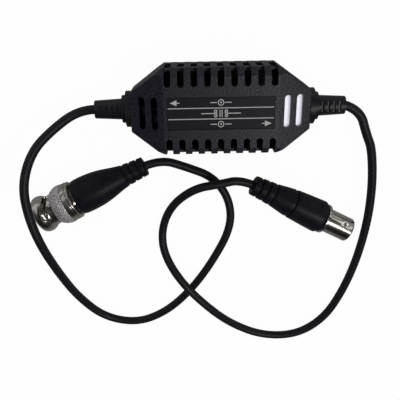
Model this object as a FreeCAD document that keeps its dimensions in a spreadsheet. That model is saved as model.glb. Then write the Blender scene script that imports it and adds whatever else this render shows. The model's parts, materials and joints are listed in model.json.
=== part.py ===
"""Ground loop isolator: a vented octagonal housing with two coax tails, one ending in a
bayonet plug and the other in a bayonet jack.  Millimetres, +Z up, +X along the housing
towards the jack's tail, origin at the middle of the housing's underside."""

import FreeCAD, Part
import math
import os
import re

import Sketcher

V = FreeCAD.Vector

# Driving dimensions: word, value and what it measures
SIZES = [
    # housing
    ("housing_height", 20.0, "underside to top, both shells"),
    ("housing_length", 62.4, "flat end to flat end"),
    ("middle_length", 39.0, "straight part between the tapering ends"),
    ("housing_width", 30.4, "across the straight sides"),
    ("end_width", 13.6, "width of each flat end"),
    ("end_height", 13.4, "height of each flat end"),
    ("edge_run", 2.6, "long top edge's slope, across"),
    ("edge_drop", 2.6, "long top edge's slope, down"),
    ("wall", 1.6, "shell wall"),
    ("edge_round", 0.6, "rounding of the shells' outer edges"),
    ("shoulder_round", 3.0, "rounding below each long top edge's slope"),
    # vents
    ("vent_count", 9.0, "U-shaped vents along each long side"),
    ("vent_pitch", 4.48, "vent spacing"),
    ("vent_width", 2.2, "vent width"),
    ("vent_inner", 8.9, "middle line of the housing to a vent's round end"),
    ("vent_recess", 0.5, "groove of each vent down the upper shell's side"),
    ("lower_recess", 0.15, "groove below each vent down the lower shell's side"),
    ("band_height", 3.3, "strip left between a vent and its seam window"),
    ("window_height", 2.5, "blind window beside the seam, from the seam up or down"),
    ("window_depth", 1.1, "blind window into the wall"),
    ("end_slot_first", 22.7, "middle of the housing to the first end slot"),
    ("end_slot_pitch", 4.3, "first end slot to the second"),
    ("end_slot_length", 11.2, "end slot, tip to tip"),
    # label
    ("label_length", 36.6, "label recess along the housing"),
    ("label_width", 11.2, "label recess across the housing"),
    ("label_recess", 0.5, "depth of the recess"),
    ("label_thickness", 0.3, "label plate"),
    ("label_gap", 0.15, "label plate to its recess, each side"),
    ("print_thickness", 0.06, "printed lines on the label"),
    ("line_width", 0.3, "width of a dividing line"),
    ("line_spread", 3.72, "upper dividing line to the lower one"),
    ("stroke", 0.3, "line of the small drawings"),
    ("arrow_inset", 1.0, "recess's end to an arrow's tip"),
    ("arrow_head", 2.3, "arrow's head, along"),
    ("arrow_width", 2.0, "arrow's head, across"),
    ("arrow_tail", 1.0, "arrow's tail"),
    ("coax_ring", 1.1, "ring of the coax drawing"),
    ("coil_ring", 0.55, "turn of the transformer drawing"),
    # joint between the shells
    ("boss_along", 21.3, "shell boss from the middle, along"),
    ("boss_across", 9.4, "shell boss from the middle, across"),
    ("boss_radius", 1.8, "shell boss"),
    ("sink", 0.5, "how far a post, pin or boss goes into what it stands on"),
    ("pin_radius", 0.9, "locating pin on the upper shell"),
    ("pin_length", 3.0, "locating pin below the seam"),
    ("pin_gap", 0.1, "pin to its socket, all round"),
    # circuit board
    ("board_length", 31.0, "circuit board along the housing"),
    ("board_width", 14.6, "circuit board across"),
    ("board_thickness", 1.2, "circuit board"),
    ("board_height", 5.6, "housing underside to the board's lower face"),
    ("post_along", 13.4, "board post from the middle, along"),
    ("post_across", 5.3, "board post from the middle, across"),
    ("post_radius", 1.7, "board post"),
    ("nib_radius", 0.7, "locating nib on a lower post"),
    ("fit", 0.05, "running clearance between fitted pieces"),
    # transformer
    ("core_outer", 5.4, "outer radius of the ring core"),
    ("core_inner", 2.8, "inner radius of the ring core"),
    ("core_height", 4.4, "height of the ring core"),
    ("coil_thickness", 0.7, "thickness of a winding round the core"),
    ("coil_angle", 156.0, "arc of the core under one winding"),
    ("lead_radius", 0.3, "winding lead"),
    ("lead_along", 4.6, "winding lead from the middle, along"),
    ("lead_across", 3.5, "winding lead from the middle, across"),
    ("solder_radius", 0.85, "solder joint at the board"),
    ("solder_height", 0.7, "solder joint below the board"),
    ("wire_along", 11.6, "cable wire's hole from the middle, along"),
    ("wire_across", 1.7, "cable wire's hole from the middle, across"),
    ("wire_straight", 2.0, "cable wire's straight start"),
    ("wire_fall", 0.6, "cable wire's fall before its hole"),
    # cable and strain reliefs
    ("cord_radius", 1.65, "cable jacket"),
    ("core_radius", 0.9, "cable's inner insulation"),
    ("jacket_end", 19.0, "middle of the housing to the end of the jacket"),
    ("core_bare", 2.0, "inner insulation past the jacket"),
    ("tie_place", 25.0, "cable tie from the middle"),
    ("tie_length", 2.2, "cable tie along the cable"),
    ("tie_thickness", 0.9, "cable tie round the cable"),
    ("relief_inner_radius", 5.2, "strain relief's flange inside the wall"),
    ("relief_inner_length", 1.5, "strain relief's flange inside, thickness"),
    ("relief_groove_radius", 3.9, "strain relief in the wall's hole"),
    ("relief_outer_radius", 6.4, "strain relief's outer flange"),
    ("relief_outer_length", 2.0, "strain relief's outer flange, thickness"),
    ("relief_step_radius", 4.9, "strain relief's second step"),
    ("relief_step_length", 1.4, "strain relief's second step, thickness"),
    ("relief_root_radius", 3.7, "strain relief's tail at the step"),
    ("relief_tip_radius", 3.2, "strain relief's tail at its tip"),
    ("relief_tail_length", 9.8, "strain relief's tail"),
    ("relief_rail", 3.6, "width of the smooth rail along each side of the tail"),
    ("relief_groove_depth", 1.1, "grooves across the tail"),
    ("relief_groove_width", 0.85, "one groove along the tail"),
    ("relief_pitch", 2.0, "groove spacing"),
    ("relief_grooves", 4.0, "grooves on each face of the tail"),
    # white pad behind the slots of one end
    ("pad_thickness", 0.6, "insulating pad"),
    ("pad_length", 9.0, "insulating pad down the slope"),
    ("pad_width", 12.0, "insulating pad across"),
    ("pad_start", 1.0, "ridge to the pad, down the slope"),
    # bayonet plug, measured from the nut's rear face, forwards
    ("nut_length", 16.1, "coupling nut"),
    ("nut_rear_length", 3.3, "smooth rear band of the nut"),
    ("nut_rear_radius", 7.6, "smooth rear band of the nut"),
    ("knurl_length", 5.1, "knurled band of the nut"),
    ("knurl_radius", 7.8, "knurled band of the nut"),
    ("knurl_slope", 2.6, "slope at the knurled band's front, along the axis"),
    ("knurl_front_radius", 6.4, "knurled band of the nut, at its front"),
    ("waist_radius", 6.0, "waist of the nut"),
    ("nose_length", 4.8, "bulged front rim of the nut"),
    ("nose_radius", 7.3, "bulged front rim of the nut"),
    ("nose_round", 1.5, "slope on each side of the bulge"),
    ("nut_chamfer", 0.5, "chamfers of the nut"),
    ("nut_bore", 4.95, "bore that takes the jack's barrel"),
    ("nut_neck_bore", 4.75, "bore that turns on the plug's neck"),
    ("nut_lip", 1.9, "thickness of the nut's rear lip"),
    ("chamber_radius", 6.3, "spring chamber in the nut"),
    ("track_width", 2.3, "bayonet track"),
    ("track_radius", 5.75, "depth of the track's entry, from the axis"),
    ("track_turn", 78.0, "turn of the track from entry to seat"),
    ("track_rise", 2.6, "rise of the track from entry to seat"),
    ("track_seat", 3.4, "nut's front face to the far end of the track's entry"),
    ("spring_length", 2.3, "wave washer at rest, along the axis"),
    ("thrust_thickness", 0.6, "thrust washer"),
    ("thrust_outer", 6.1, "thrust washer, outer radius"),
    ("spring_thickness", 0.3, "wave washer's sheet"),
    ("spring_outer", 5.95, "wave washer, outer radius"),
    ("spring_inner", 4.85, "wave washer, inner radius"),
    ("neck_radius", 4.65, "plug body's neck under the nut"),
    ("stop_radius", 5.9, "plug body's flange in the chamber"),
    ("stop_length", 1.0, "plug body's flange in the chamber"),
    ("sleeve_radius", 4.1, "plug body's front sleeve"),
    ("sleeve_wall", 0.6, "plug body's front sleeve"),
    ("sleeve_end", 13.0, "nut's rear face to the sleeve's end"),
    ("sleeve_floor", 0.8, "web across the sleeve's root"),
    ("gasket_radius", 4.8, "ring seal round the sleeve's root"),
    ("gasket_length", 0.8, "ring seal round the sleeve's root"),
    ("plug_pin_radius", 0.68, "plug's centre pin"),
    ("plug_pin_end", 12.4, "nut's rear face to the pin's tip"),
    ("pin_taper", 1.0, "taper at the centre pin's tip"),
    ("insulator_radius", 2.4, "insulator in either connector"),
    ("plug_insulator_end", 7.4, "nut's rear face to the insulator's front"),
    ("boot_gap", 0.9, "nut's rear face to the boot"),
    ("collar_gap", 0.4, "nut's rear face to the plug body's collar"),
    ("plug_boot_length", 30.0, "nut's rear face to the boot's rear end"),
    ("plug_boot_front", 6.7, "boot's radius behind the nut"),
    ("plug_boot_shoulder", 7.05, "boot's radius a quarter down its smooth part"),
    ("plug_boot_middle", 6.68, "boot's radius half way down its smooth part"),
    ("plug_boot_waist", 5.62, "boot's radius three quarters down its smooth part"),
    ("plug_boot_neck", 4.4, "boot's radius where its ribs start"),
    ("plug_boot_end", 3.65, "radius of the boot's end ring"),
    ("plug_smooth_length", 20.6, "nut's rear face to the boot's ribs"),
    ("rib_depth", 0.75, "groove between the boots' ribs"),
    ("rib_gap", 0.9, "width of a groove between ribs"),
    # parts that both connectors share, measured back from the collar's front
    ("collar_radius", 5.2, "body's collar in the boot"),
    ("collar_length", 2.4, "body's collar in the boot"),
    ("shank_radius", 2.3, "body's crimp shank"),
    ("shank_bore", 1.0, "bore of the crimp shank"),
    ("shank_length", 5.2, "body's crimp shank"),
    ("ferrule_radius", 3.1, "crimp ferrule"),
    ("ferrule_length", 8.4, "crimp ferrule"),
    ("ferrule_gap", 0.2, "collar to the ferrule"),
    ("core_reach", 0.4, "inner insulation past the shank's front"),
    ("strip_length", 1.0, "jacket's end to the shank"),
    ("conductor_radius", 0.28, "cable's centre conductor"),
    ("contact_rear", 1.0, "contact behind the insulator"),
    # bayonet jack, measured from the boot's front face, forwards
    ("flange_length", 1.35, "jack's flange"),
    ("flange_radius", 6.05, "jack's flange"),
    ("barrel_length", 10.9, "jack's barrel past its flange"),
    ("barrel_radius", 4.8, "jack's barrel"),
    ("barrel_bore", 4.2, "inside of the barrel"),
    ("barrel_floor", 3.2, "boot's front face to the barrel's floor"),
    ("edge_break", 0.3, "small chamfers of the jack"),
    ("lug_back", 3.2, "barrel's front to the lugs' middle"),
    ("lug_radius", 1.0, "bayonet lug"),
    ("lug_reach", 5.5, "axis to a lug's top"),
    ("flat_length", 5.4, "flat round each lug, along the barrel"),
    ("flat_depth", 0.12, "flat round each lug, deep"),
    ("jack_insulator_end", 11.3, "boot's front face to the insulator's front"),
    ("jack_contact_radius", 1.1, "jack's socket contact"),
    ("jack_contact_bore", 0.75, "bore of the socket contact"),
    ("jack_contact_depth", 6.0, "depth of the contact's bore"),
    ("jack_boot_length", 31.2, "jack's boot"),
    ("grip_length", 13.8, "jack boot's grip"),
    ("grip_radius", 6.6, "jack boot's grip, at its front"),
    ("grip_rear_radius", 5.8, "jack boot's grip, at its rear"),
    ("grip_chamfer", 1.1, "chamfer at the grip's front"),
    ("ring_groove_length", 0.8, "groove behind the grip"),
    ("ring_groove_radius", 5.35, "groove behind the grip"),
    ("cone_front", 5.75, "jack boot's cone at the groove"),
    ("cone_rear", 4.55, "jack boot's cone at its rear"),
    ("cone_length", 7.4, "jack boot's cone"),
    ("jack_boot_end", 3.8, "jack boot's rear end"),
]

# Where the connectors lie: a point on each axis, and the way each one faces
PLUG_NOSE = V(-70.6, -41.75, 0)
PLUG_HEADING = 203.8
JACK_REAR = V(13.0, -31.3, 0)
JACK_HEADING = -27.6
JACK_ROLL = -37.0

# Routes of the two cables, from the strain relief to the connector's boot
PLUG_ROUTE = [
    (-50.6, 0.0, 10.0), (-61.3, -7.4, 13.4), (-67.4, -13.8, 17.2), (-71.1, -24.5, 20.2),
    (-70.4, -36.1, 21.5), (-67.5, -48.3, 21.5), (-63.8, -63.8, 16.0), (-59.8, -80.3, 7.6),
    (-51.0, -94.3, 2.3), (-36.6, -98.1, 1.75), (-23.4, -92.4, 1.75), (-11.9, -81.0, 1.75),
    (-2.5, -66.9, 1.75), (4.9, -51.6, 1.75), (4.3, -39.3, 1.75), (-2.3, -29.4, 1.75),
    (-13.1, -24.8, 2.3), (-22.3, -21.1, 4.2),
]
JACK_ROUTE = [
    (50.4, -1.9, 9.8), (53.9, -11.3, 9.4), (56.7, -16.7, 8.6), (59.1, -30.8, 7.2),
    (59.7, -46.9, 5.6), (57.8, -65.0, 4.2), (53.6, -82.1, 2.9), (46.8, -97.2, 2.0),
    (35.1, -106.1, 1.75), (19.8, -106.4, 1.75), (5.8, -98.4, 4.0), (-5.0, -86.7, 8.0),
    (-16.1, -73.9, 8.0), (-23.1, -62.7, 3.8), (-23.8, -51.9, 1.75), (-19.3, -40.9, 2.9),
    (-9.9, -31.8, 8.0), (0.3, -30.2, 8.0), (7.6, -29.0, 6.7),
]

doc = FreeCAD.newDocument("GroundLoopIsolator")
sheet = doc.addObject("Spreadsheet::Sheet", "Sizes")
for row, (word, value, meaning) in enumerate(SIZES, 1):
    sheet.set(f"A{row}", str(value))
    sheet.setAlias(f"A{row}", word)
    sheet.set(f"B{row}", meaning)
doc.recompute()

WORDS = re.compile(r"\b(" + "|".join(word for word, value, meaning in SIZES) + r")\b")
parts = {}


def mm(word):
    """A size from the sheet, as a number."""
    return float(sheet.get(word))


def tie(formula):
    """A formula in plain words, as an expression on the sheet."""
    return WORDS.sub(r"Sizes.\1", str(formula))


def bind(thing, **formulas):
    for prop, formula in formulas.items():
        thing.setExpression(prop.replace("__", "."), tie(formula))


def keep(label, thing, place=None):
    """Name a finished sub-part, and set where it goes."""
    thing.Label = label
    if place is not None:
        thing.Placement = place
    parts[label] = thing
    return thing


def plane(body, role):
    for feature in body.Origin.OriginFeatures:
        if feature.Role == role:
            return feature


def outline(body, role, corners):
    """A closed sketch whose corners are tied to the sheet."""
    sketch = body.newObject("Sketcher::SketchObject", "Outline")
    sketch.AttachmentSupport = [(plane(body, role), "")]
    sketch.MapMode = "FlatFace"
    count = len(corners)
    for i in range(count):
        angle, after = (2 * math.pi * k / count for k in (i, i + 1))
        start, end = (V(math.cos(a), math.sin(a), 0) for a in (angle, after))
        sketch.addGeometry(Part.LineSegment(start, end), False)
    for i in range(count):
        sketch.addConstraint(Sketcher.Constraint("Coincident", i, 2, (i + 1) % count, 1))
    for i, corner in enumerate(corners):
        for kind, formula in zip(("DistanceX", "DistanceY"), corner):
            index = sketch.addConstraint(Sketcher.Constraint(kind, -1, 1, i, 1, 1.0))
            sketch.setExpression(f"Constraints[{index}]", tie(formula))
    return sketch


def turned(name, corners):
    """A body turned about its X axis from (along, radius) corners."""
    body = doc.addObject("PartDesign::Body", name)
    sketch = outline(body, "XZ_Plane", corners)
    turn = body.newObject("PartDesign::Revolution", "Turn")
    turn.Profile = sketch
    turn.ReferenceAxis = (sketch, ["H_Axis"])
    turn.Angle = 360
    return body


def slab(name, role, corners, thickness, middle=True):
    """A body of one thickness, from an outline on a plane."""
    body = doc.addObject("PartDesign::Body", name)
    sketch = outline(body, role, corners)
    pad = body.newObject("PartDesign::Pad", "Slab")
    pad.Profile = sketch
    pad.Midplane = middle
    bind(pad, Length=thickness)
    return body


def box(name, along, across, up, at):
    """A box, by its three sides and the formulas of its lowest corner."""
    block = doc.addObject("Part::Box", name)
    bind(block, Length=along, Width=across, Height=up)
    bind(block, Placement__Base__x=at[0], Placement__Base__y=at[1], Placement__Base__z=at[2])
    return block


def rod(name, radius, length, at, axis="Z"):
    """A cylinder that starts at a point and runs along an axis."""
    bar = doc.addObject("Part::Cylinder", name)
    bind(bar, Radius=radius, Height=length)
    turns = {"X": FreeCAD.Rotation(V(0, 1, 0), 90), "Z": FreeCAD.Rotation()}
    bar.Placement = FreeCAD.Placement(V(0, 0, 0), turns[axis])
    bind(bar, Placement__Base__x=at[0], Placement__Base__y=at[1], Placement__Base__z=at[2])
    return bar


def joined(name, pieces):
    whole = doc.addObject("Part::MultiFuse", name)
    whole.Shapes = pieces
    return whole


def common(name, pieces):
    whole = doc.addObject("Part::MultiCommon", name)
    whole.Shapes = pieces
    return whole


def cut(name, base, tool):
    rest = doc.addObject("Part::Cut", name)
    rest.Base = base
    rest.Tool = tool
    return rest


def signs():
    """The four quarters of a plan."""
    return [(x, y) for x in (-1, 1) for y in (-1, 1)]


# Housing: both shells share one blank, built outwards from the seam.
# Angles of the tapering sides, the sloping ends and the long edges' bevels:
SLANT = "atan((housing_width - end_width) / (housing_length - middle_length))"
SLOPE = "atan((housing_height - end_height) / (housing_length - middle_length))"
BEVEL = "atan(edge_drop / edge_run)"


def faceted(name, inset):
    """Half of the housing's outer form, or of its cavity, from the seam outwards."""
    half = f"(housing_height / 2 - {inset})"
    end = f"(housing_length / 2 - {inset})"
    side = f"(housing_width / 2 - {inset})"
    knee = f"(middle_length / 2 - {inset} * tan({SLANT} / 2))"
    cheek = f"(end_width / 2 - {inset} * tan(45 deg - {SLANT} / 2))"
    ridge = f"(middle_length / 2 - {inset} * tan({SLOPE} / 2))"
    brow = f"(end_height / 2 - {inset} * tan(45 deg - {SLOPE} / 2))"
    shoulder = f"(housing_width / 2 - edge_run - {inset} * tan({BEVEL} / 2))"
    bevel_low = f"(housing_height / 2 - edge_drop - {inset} * tan(45 deg - {BEVEL} / 2))"
    plan = [(f"-{end}", f"-{cheek}"), (f"-{knee}", f"-{side}"), (knee, f"-{side}"),
            (end, f"-{cheek}"), (end, cheek), (knee, side), (f"-{knee}", side),
            (f"-{end}", cheek)]
    profile = [(f"-{end}", 0), (end, 0), (end, brow), (ridge, half), (f"-{ridge}", half),
               (f"-{end}", brow)]
    section = [(f"-{side}", 0), (side, 0), (side, bevel_low), (shoulder, half),
               (f"-{shoulder}", half), (f"-{side}", bevel_low)]
    return common(name, [
        slab(name + "Plan", "XY_Plane", plan, half, middle=False),
        slab(name + "Profile", "XZ_Plane", profile, "housing_width"),
        slab(name + "Section", "YZ_Plane", section, "housing_length")])


def rounded(name, base):
    """Round every edge that isn't on the seam, and the long shoulders more."""
    doc.recompute()
    soft = doc.addObject("Part::Fillet", name)
    soft.Base = base
    side = mm("housing_width") / 2
    edges = []
    for i, edge in enumerate(base.Shape.Edges, 1):
        if max(vertex.Z for vertex in edge.Vertexes) > mm("edge_round"):
            shoulder = min(abs(vertex.Y) for vertex in edge.Vertexes) > side - mm("fit")
            level = abs(edge.Vertexes[0].Z - edge.Vertexes[-1].Z) < mm("fit")
            radius = mm("shoulder_round" if shoulder and level else "edge_round")
            edges.append((i, radius, radius))
    soft.Edges = edges
    return soft


def side_cutters(recess, tall_window):
    """Cutters of the vents' grooves down the side walls and of the blind windows in them."""
    tools = []
    count = int(mm("vent_count"))
    for column in range(count):
        left = f"({column} - (vent_count - 1) / 2) * vent_pitch - vent_width / 2"
        height = tall_window if column in (0, count - 1) else "window_height"
        for side in (1, -1):
            for depth, rise in ((recess, "housing_height / 2"), ("window_depth", height)):
                start = f"housing_width / 2 - {depth}"
                start = start if side > 0 else f"-({start}) - ({depth} + wall)"
                tools.append(box("SideCut", "vent_width", f"{depth} + wall", rise,
                                 (left, start, 0)))
    return tools


def vent_tools():
    """Cutters of the U-shaped vents in the top and its long edges."""
    tools = []
    count = int(mm("vent_count"))
    reach = "(housing_width / 2 - vent_inner)"
    inner = "vent_inner + vent_width / 2"
    seat = "window_height + band_height"
    for column in range(count):
        middle = f"({column} - (vent_count - 1) / 2) * vent_pitch"
        for side in (1, -1):
            start = inner if side > 0 else f"-({inner}) - {reach}"
            tools.append(box("Vent", "vent_width", reach, "housing_height / 2",
                             (f"{middle} - vent_width / 2", start, seat)))
            tools.append(rod("VentEnd", "vent_width / 2", "housing_height / 2",
                             (middle, f"{side} * ({inner})", seat)))
    return tools


def end_slot_tools():
    """Cutters of the round-ended slots in the sloping ends."""
    tools = []
    for side in (-1, 1):
        for step in (0, 1):
            middle = f"{side} * (end_slot_first + {step} * end_slot_pitch)"
            half = "(end_slot_length - vent_width) / 2"
            low = "window_height + band_height"
            tools.append(box("EndSlot", "vent_width", f"2 * {half}", "housing_height / 2",
                             (f"{middle} - vent_width / 2", f"-{half}", low)))
            for tip in (-1, 1):
                tools.append(rod("EndSlotTip", "vent_width / 2", "housing_height / 2",
                                 (middle, f"{tip} * {half}", low)))
    return tools


def shell_bosses():
    """Bosses from the seam into the sloping roof."""
    roof = f"housing_height / 2 - wall - (boss_along - middle_length / 2) * tan({SLOPE})"
    return [rod("Boss", "boss_radius", f"{roof} + sink",
                (f"{x} * boss_along", f"{y} * boss_across", 0)) for x, y in signs()]


def shell_blank():
    """What both shells have alike: the walls, the cables' holes and the bosses."""
    outer = rounded("Outer", faceted("OuterForm", "0"))
    hollow = cut("Hollow", outer, faceted("Cavity", "wall"))
    relief_hole = rod("ReliefHole", "relief_groove_radius + fit", "housing_length + 2",
                      ("-housing_length / 2 - 1", 0, 0), "X")
    return joined("Bossed", [cut("Holed", hollow, relief_hole)] + shell_bosses())


def make_shells():
    """Upper shell with vents, the label's recess and pins; lower shell with the board's posts."""
    blank = shell_blank()
    ceiling = "(housing_height / 2 - wall)"
    board_low = "(housing_height / 2 - board_height)"
    board_top = "(board_height + board_thickness - housing_height / 2)"
    seam = FreeCAD.Placement(V(0, 0, mm("housing_height") / 2), FreeCAD.Rotation())
    turned_over = FreeCAD.Placement(seam.Base, FreeCAD.Rotation(V(1, 0, 0), 180))

    pins = [rod("Pin", "pin_radius", "pin_length + sink",
                (f"{x} * boss_along", f"{y} * boss_across", "-pin_length")) for x, y in signs()]
    holders = [rod("Holder", "post_radius", f"{ceiling} + sink - ({board_top} + fit)",
                   (f"{x} * post_along", f"{y} * post_across", f"{board_top} + fit"))
               for x, y in signs()]
    recess = box("LabelRecess", "label_length", "label_width", "label_recess + 1",
                 ("-label_length / 2", "-label_width / 2", "housing_height / 2 - label_recess"))
    grooves = side_cutters("vent_recess", "housing_height / 2 - edge_drop")
    upper = cut("UpperShell", joined("UpperPosts", [blank] + pins + holders),
                joined("UpperTools", vent_tools() + end_slot_tools() + grooves + [recess]))
    keep("upper_shell", upper, seam)

    sockets = [rod("Socket", "pin_radius + pin_gap", "pin_length + 2 * pin_gap",
                   (f"{x} * boss_along", f"{y} * boss_across", 0)) for x, y in signs()]
    posts, nibs = [], []
    for x, y in signs():
        at = (f"{x} * post_along", f"{y} * post_across", board_low)
        posts.append(rod("Post", "post_radius", f"{ceiling} + sink - {board_low}", at))
        at = at[:2] + (f"{board_low} - board_thickness + 2 * fit",)
        nibs.append(rod("Nib", "nib_radius", "board_thickness", at))
    lower = cut("LowerShell", joined("LowerPosts", [blank] + posts + nibs),
                joined("LowerTools", sockets + side_cutters("lower_recess", "window_height")))
    keep("lower_shell", lower, turned_over)


# Label: a plate in its recess, with lines, arrows and a drawing of what the box does
def make_label():
    floor = "(housing_height - label_recess)"
    plate = box("LabelPlate", "label_length - 2 * label_gap", "label_width - 2 * label_gap",
                "label_thickness",
                ("-label_length / 2 + label_gap", "-label_width / 2 + label_gap", floor))
    keep("label_plate", plate)

    top = f"({floor} + label_thickness)"
    bits = []

    def bar(along, across, x, y):
        bits.append(box("Bar", along, across, "print_thickness",
                        (f"{x} - ({along}) / 2", f"{y} - ({across}) / 2", top)))

    def ring(radius, x, y):
        disc = rod("RingOuter", radius, "print_thickness", (x, y, top))
        hole = rod("RingInner", f"{radius} - stroke", "print_thickness", (x, y, top))
        bits.append(cut("Ring", disc, hole))

    for side in (-1, 1):
        bar("label_length - 4 * label_gap", "line_width", 0, f"{side} * line_spread / 2")
    # an arrow towards each cable
    for side in (-1, 1):
        y = f"(-{side} * line_spread)"
        tip = f"({side} * (label_length / 2 - arrow_inset))"
        base = f"({tip} - {side} * arrow_head)"
        tail = f"({base} - {side} * arrow_tail)"
        corners = [(tip, y), (base, f"{y} + arrow_width / 2"), (base, f"{y} + stroke / 2"),
                   (tail, f"{y} + stroke / 2"), (tail, f"{y} - stroke / 2"),
                   (base, f"{y} - stroke / 2"), (base, f"{y} - arrow_width / 2")]
        arrow = slab("Arrow", "XY_Plane", corners, "print_thickness", middle=False)
        bind(arrow, Placement__Base__z=top)
        bits.append(arrow)
    # a coax end in the upper and the lower row, drawn as a ring round a dot
    for row in (-1, 1):
        y = f"{row} * line_spread"
        ring("coax_ring", 0, y)
        bits.append(rod("Dot", "stroke", "print_thickness", (0, y, top)))
        for side in (-1, 1):
            bar("2 * coax_ring", "stroke", f"{side} * (2 * coax_ring + stroke)", y)
    # the transformer in the middle row: two coils, and the core's two bars between them
    for side in (-1, 1):
        bar("stroke", "line_spread - 4 * stroke", f"{side} * 1.2 * stroke", 0)
        coil = f"{side} * (2.4 * stroke + 2 * coil_ring)"
        for turn in (-1, 0, 1):
            ring("coil_ring", coil, f"{turn} * (2 * coil_ring - stroke)")
        bar("8 * coil_ring", "stroke", f"{coil} + {side} * 5 * coil_ring", 0)
    keep("label_print", joined("LabelPrint", bits))


# Inside: circuit board, ring transformer and the cables' ends
def board_holes(radius):
    """Cutters or pins at every lead and wire hole of the board."""
    spots = [(f"{x} * lead_along", f"{y} * lead_across") for x, y in signs()]
    spots += [(f"{x} * wire_along", f"{y} * wire_across") for x, y in signs()]
    return [rod("LeadHole", radius, "housing_height / 2", (x, y, "board_height - 2 * solder_height"))
            for x, y in spots]


def make_board():
    blank = box("BoardBlank", "board_length", "board_width", "board_thickness",
                ("-board_length / 2", "-board_width / 2", "board_height"))
    nib_holes = [rod("NibHole", "nib_radius + fit", "board_thickness",
                     (f"{x} * post_along", f"{y} * post_across", "board_height"))
                 for x, y in signs()]
    holes = joined("BoardHoles", nib_holes + board_holes("lead_radius + fit"))
    keep("circuit_board", cut("CircuitBoard", blank, holes))

    cones = []
    for x, y in signs():
        for along, across in (("lead_along", "lead_across"), ("wire_along", "wire_across")):
            cone = doc.addObject("Part::Cone", "Solder")
            bind(cone, Radius1="solder_radius / 2", Radius2="solder_radius",
                 Height="solder_height", Placement__Base__x=f"{x} * {along}",
                 Placement__Base__y=f"{y} * {across}",
                 Placement__Base__z="board_height - solder_height")
            cones.append(cone)
    keep("solder_joints", cut("SolderJoints", joined("SolderCones", cones),
                              joined("SolderHoles", board_holes("lead_radius"))))


def make_transformer():
    """Ring core lying on the board, with one winding on each half."""
    base = "(board_height + board_thickness + fit)"
    core_low = f"({base} + coil_thickness + fit)"
    core = cut("RingCore", rod("CoreOuter", "core_outer", "core_height", (0, 0, core_low)),
               rod("CoreInner", "core_inner", "core_height", (0, 0, core_low)))
    keep("transformer_core", core)
    skin = "(coil_thickness + fit)"
    section = [(f"core_inner - {skin}", base), (f"core_outer + {skin}", base),
               (f"core_outer + {skin}", f"{base} + core_height + 2 * {skin}"),
               (f"core_inner - {skin}", f"{base} + core_height + 2 * {skin}")]
    hollow = [("core_inner - fit", f"{core_low} - fit"), ("core_outer + fit", f"{core_low} - fit"),
              ("core_outer + fit", f"{core_low} + core_height + fit"),
              ("core_inner - fit", f"{core_low} + core_height + fit")]
    for label, side, way in (("primary_winding", -1, 180), ("secondary_winding", 1, 0)):
        arcs = []
        for corners in (section, hollow):
            body = doc.addObject("PartDesign::Body", "CoilForm")
            sketch = outline(body, "XZ_Plane", corners)
            turn = body.newObject("PartDesign::Revolution", "CoilTurn")
            turn.Profile = sketch
            turn.ReferenceAxis = (sketch, ["V_Axis"])
            turn.Midplane = True
            bind(turn, Angle="coil_angle")
            body.Placement = FreeCAD.Placement(V(0, 0, 0), FreeCAD.Rotation(V(0, 0, 1), way))
            arcs.append(body)
        leads = [rod("Lead", "lead_radius", f"{base} + coil_thickness / 2 - board_height"
                     " + solder_height",
                     (f"{side} * lead_along", f"{y} * lead_across",
                      "board_height - solder_height")) for y in (-1, 1)]
        keep(label, joined("Winding", [cut("Coil", arcs[0], arcs[1])] + leads))


def tube(points, radius, name):
    """A round tube along straight runs joined by tangent arcs, as large as the runs allow."""
    points = [V(*point) for point in points]
    edges, radii = [], []
    last = points[0]
    for before, corner, after in zip(points, points[1:], points[2:]):
        back, ahead = before - corner, after - corner
        shorter = min(back.Length, ahead.Length)
        half = (math.pi - back.getAngle(ahead)) / 2
        reach = 0.45 * shorter
        radii.append(reach / math.tan(half))
        back.normalize()
        ahead.normalize()
        start, end = corner + back * reach, corner + ahead * reach
        bow = back + ahead
        bow.normalize()
        middle = corner + bow * (radii[-1] / math.cos(half) - radii[-1])
        edges.append(Part.LineSegment(last, start).toShape())
        edges.append(Part.Arc(start, middle, end).toShape())
        last = end
    edges.append(Part.LineSegment(last, points[-1]).toShape())
    path = Part.Wire(edges)
    heading = points[1] - points[0]
    disc = Part.Wire(Part.Circle(points[0], heading, radius).toShape())
    solid = path.makePipeShell([disc], True, False)
    ratio = solid.Volume / (math.pi * radius ** 2 * path.Length)
    if radii:
        print(f"{name}: {path.Length:.1f} long, least radius {min(radii):.1f},"
              f" volume over section times length {ratio:.4f}")
    return solid


RELIEF = ("relief_outer_length", "relief_step_length", "relief_tail_length")


def relief_tip():
    """Middle of the housing to the tip of a strain relief."""
    return mm("housing_length") / 2 + sum(mm(word) for word in RELIEF)


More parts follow.
